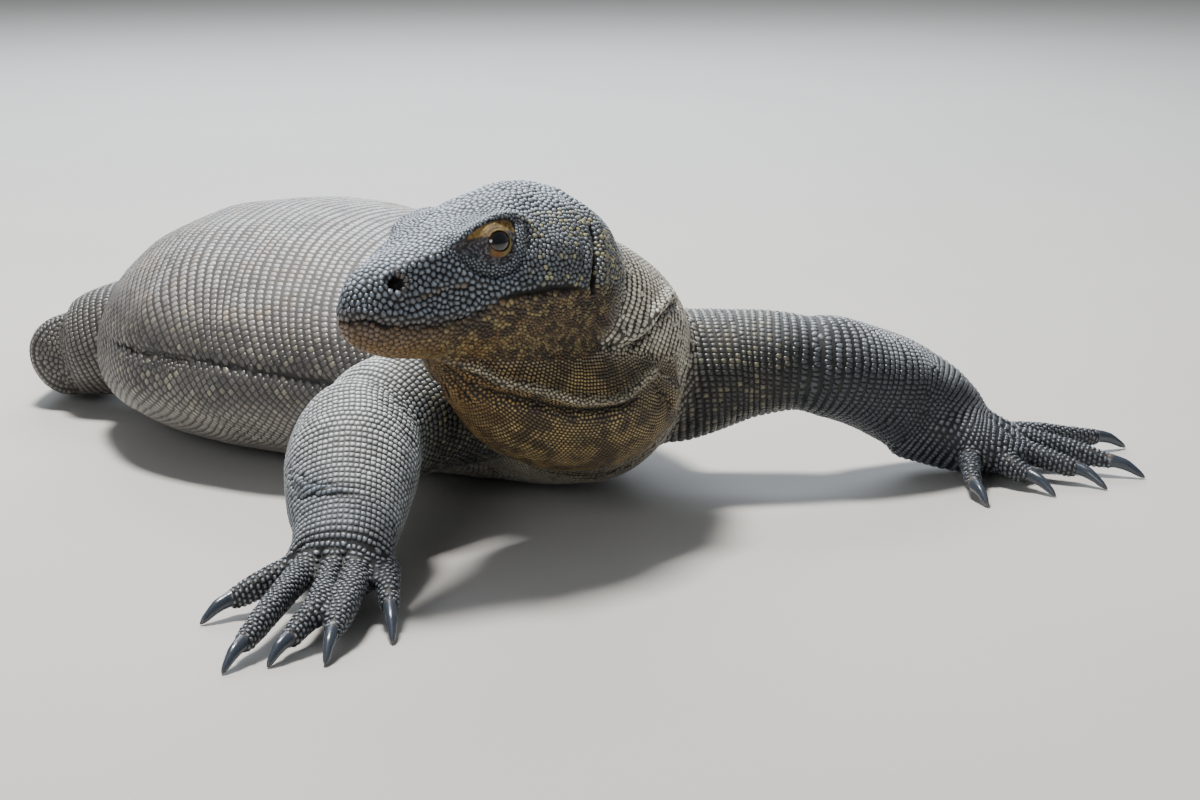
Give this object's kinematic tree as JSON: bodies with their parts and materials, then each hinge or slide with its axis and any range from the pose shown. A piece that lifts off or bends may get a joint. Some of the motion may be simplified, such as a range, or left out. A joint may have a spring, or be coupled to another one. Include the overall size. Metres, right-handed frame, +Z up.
{
  "type": "komodo dragon",
  "caption": "Life-size model of a large monitor lizard resting on its belly, head raised and turned, forelegs spread, tail curled beside it",
  "frame": {"origin": "Centre of the footprint, on the floor under the animal.", "axes": "+Z is up from the floor. +X is the way the middle of the trunk faces, towards the neck. +Y is the animal's left, the side its tail curls to, and the longest way across the model. The head is turned to -Y."},
  "size_m": [1.155, 1.2448, 0.2901],
  "materials": {
    "skin": "satin scaly hide",
    "eye": "clear gloss over a dark brown iris",
    "claw": "semi-gloss horn"
  },
  "bodies": {
    "root": {"head": "skin", "lower_jaw": "skin", "neck": "skin", "throat": "skin", "trunk": "skin", "tail_base": "skin", "tail_middle": "skin", "tail_tip": "skin", "upper_arm_left": "skin", "forearm_left": "skin", "hand_left": "skin", "thigh_left": "skin", "shank_left": "skin", "foot_left": "skin", "upper_arm_right": "skin", "forearm_right": "skin", "hand_right": "skin", "thigh_right": "skin", "shank_right": "skin", "foot_right": "skin", "eye_left": "eye", "eye_right": "eye", "claw_fore_left_1": "claw", "claw_fore_left_2": "claw", "claw_fore_left_3": "claw", "claw_fore_left_4": "claw", "claw_fore_left_5": "claw", "claw_fore_right_1": "claw", "claw_fore_right_2": "claw", "claw_fore_right_3": "claw", "claw_fore_right_4": "claw", "claw_fore_right_5": "claw", "claw_hind_left_1": "claw", "claw_hind_left_2": "claw", "claw_hind_left_3": "claw", "claw_hind_left_4": "claw", "claw_hind_left_5": "claw", "claw_hind_right_1": "claw", "claw_hind_right_2": "claw", "claw_hind_right_3": "claw", "claw_hind_right_4": "claw", "claw_hind_right_5": "claw"}
  },
  "joints": []
}
